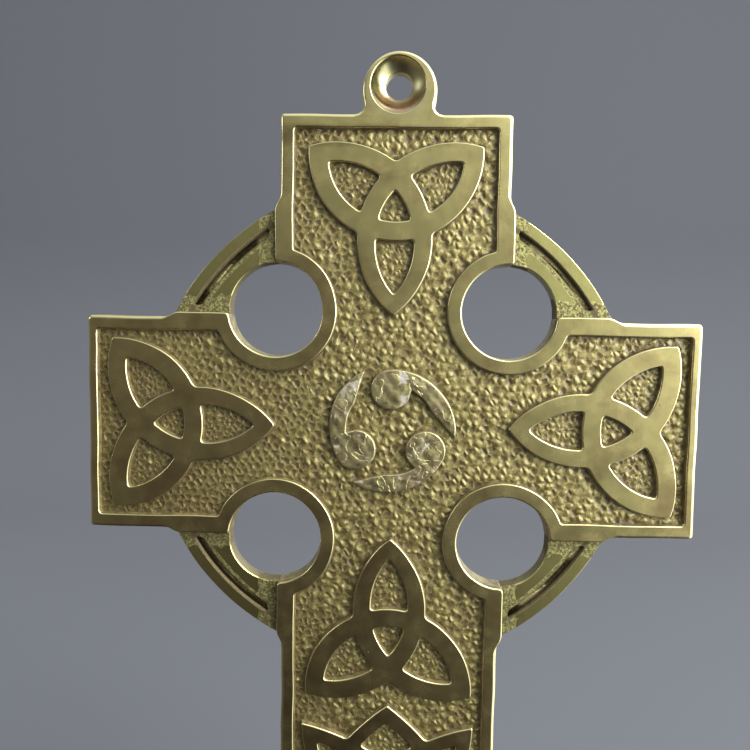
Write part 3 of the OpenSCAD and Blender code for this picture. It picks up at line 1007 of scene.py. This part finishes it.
def patch(name, points, height, normals, shade, quads):
    """Closed skin: stippled front, and a flat underside that follows the same outline."""
    used = np.unique(quads)
    lookup = np.full(len(points), -1)
    lookup[used] = np.arange(len(used))
    quads, points, height, normals = lookup[quads], points[used], height[used], normals[used]
    edges = np.vstack([quads[:, [k, (k + 1) % 4]] for k in range(4)])
    code = edges[:, 0] * len(points) + edges[:, 1]
    mirror = edges[:, 1] * len(points) + edges[:, 0]
    rim = edges[~np.isin(code, mirror)]
    rim_points = np.unique(rim)
    low = np.full(len(points), -1)
    low[rim_points] = len(points) + np.arange(len(rim_points))
    sides = np.column_stack([rim[:, 0], low[rim[:, 0]], low[rim[:, 1]], rim[:, 1]])
    tri = triangles(points[rim_points], low[rim] - len(points))[:, ::-1] + len(points)
    under = np.full(len(rim_points), UNDERSIDE)
    solid = np.column_stack([np.append(points[:, 0], points[rim_points, 0]), np.append(height, under),
                             np.append(points[:, 1], points[rim_points, 1])])
    normals = np.vstack([normals, np.tile((0.0, -1.0, 0.0), (len(under), 1))])
    shade = {key: np.append(values[used], np.ones(len(under))) for key, values in shade.items()}
    faces = quads.tolist() + sides.tolist() + tri.tolist()
    finish_mesh(name, solid, faces, normals, shade, material=STIPPLED, slot="cast_ground")


# ---------------------------------------------------------------- camera, light and sweep

# The room's brightness: e to the power of level + slope . direction, up to a limit, once for the whole
# room and once for a window on the right
ROOM_LIGHT = [((2.2, -0.1, 3.1), -2.15, 0.85), ((8.3, 0.0, 2.5), -3.95, 1.8)]
# Soft lights: direction from the middle of the cross, distance and size in metres, watts and colour
LIGHTS = {
    "key": ((0.70, -0.45, 0.66), 0.9, 0.42, 6.5, (1.0, 0.99, 0.97)),
    "side": ((0.86, -0.52, 0.10), 0.9, 0.40, 5, (0.97, 0.98, 1.0)),
    "left_fill": ((-0.9, -0.25, 0.35), 1.0, 0.35, 1.2, (0.95, 0.97, 1.0)),
}


def place_camera():
    """Camera a hand's length in front of the cross, a little above its middle and looking down a little."""
    above, distance = 20.0, 132.87
    lens, sensor = 31.2, 36.0
    # Slopes of the line of sight to the right and upwards, away from square to the front
    right_t, up_t = -0.024615, -0.069231
    roll = math.radians(1.03)
    here = Vector((MIDDLE[0], -RELIEF_H - distance, MIDDLE[1] + above)) * MM
    ahead = Vector((right_t, 1.0, up_t)).normalized()
    across = Vector((math.cos(roll), 0, math.sin(roll)))
    across = (across - ahead * across.dot(ahead)).normalized()
    up = across.cross(ahead)
    data = bpy.data.cameras.new("camera")
    data.lens, data.sensor_width = lens, sensor
    data.clip_start, data.clip_end = 0.01, 20
    camera = bpy.data.objects.new("camera", data)
    bpy.context.scene.collection.objects.link(camera)
    camera.matrix_world = Matrix.Translation(here) @ Matrix(
        [(across.x, up.x, -ahead.x), (across.y, up.y, -ahead.y), (across.z, up.z, -ahead.z)]).to_4x4()
    bpy.context.scene.camera = camera


def area_light(name, towards, distance, size, watts, colour):
    """Square soft light in a direction from the middle of the cross, facing it."""
    data = bpy.data.lights.new(name, "AREA")
    data.shape, data.size = "SQUARE", size
    data.energy, data.color = watts, colour
    light = bpy.data.objects.new(name, data)
    bpy.context.scene.collection.objects.link(light)
    way = Vector(towards).normalized()
    light.location = Vector((MIDDLE[0] * MM, 0, MIDDLE[1] * MM)) + way * distance
    light.rotation_mode = "QUATERNION"
    light.rotation_quaternion = way.to_track_quat("Z", "Y")


def make_world():
    """Soft room light that grows towards the right and above, over a dim grey room."""
    world = bpy.data.worlds.new("room")
    bpy.context.scene.world = world
    n = Nodes(world, "ShaderNodeBackground", "ShaderNodeOutputWorld")

    def dot(vector):
        values = {0: n.places["Generated"], 1: vector}
        return n.new("ShaderNodeVectorMath", values, operation="DOT_PRODUCT").outputs["Value"]

    growth = [n.least(n.math("EXPONENT", n.plus(dot(slope), level)), limit)
              for slope, level, limit in ROOM_LIGHT]
    # The paper behind the object as the metal's sides see it, and the room on the left
    behind = n.most(dot((0, 0.16, 0)), 0.0)
    left = n.most(dot((-0.12, 0, 0.03)), 0.0)
    strength = n.plus(n.plus(n.plus(*growth), behind), n.plus(left, 0.012))
    # Reddish where the room is dim, greenish where it is bright
    tint = n.mix(n.least(n.times(strength, 4.0), 1.0), (1.12, 0.94, 1.02, 1), (0.96, 1.02, 1.0, 1))
    n.set(Color=tint, Strength=strength)


def make_stage():
    """Pale floor that sweeps up into a backdrop."""
    floor_z = CAD_BOX[0][2] - 0.004
    depth, rise, radius, front, half = 0.75, 1.0, 0.30, -1.6, 1.6
    profile = [(front, 0.0), (depth - radius, 0.0)]
    for k in range(1, 13):
        a = math.pi / 2 * k / 12
        profile.append((depth - radius + radius * math.sin(a), radius - radius * math.cos(a)))
    profile.append((depth, rise))
    verts = [(x, y, floor_z + z) for y, z in profile for x in (-half, half)]
    faces = [(2 * k, 2 * k + 1, 2 * k + 3, 2 * k + 2) for k in range(len(profile) - 1)]
    mesh = bpy.data.meshes.new("sweep")
    mesh.from_pydata(verts, [], faces)
    mesh.polygons.foreach_set("use_smooth", [True] * len(faces))
    mesh.materials.append(sweep_paper())
    sweep = bpy.data.objects.new("sweep", mesh)
    bpy.context.scene.collection.objects.link(sweep)
    sweep.visible_glossy = False


# ---------------------------------------------------------------- build

bpy.context.scene.view_settings.view_transform = "Standard"
place_camera()
POLISHED = polished_brass("polished_brass")
EYE = polished_brass("dished_brass", in_dish=True)
STIPPLED = stippled_brass()
RING = ring_brass()
BURNISHED = burnished_brass()
CAST = cast_brass()

make_border()
make_plate()
make_eye()
for ring_name in RINGS:
    make_ring(ring_name)
for knot_name in KNOTS:
    make_knot(knot_name)
for comma_name in COMMAS:
    make_comma(comma_name)
make_ground()

make_world()
make_stage()
for light_name, light in LIGHTS.items():
    area_light(light_name, *light)
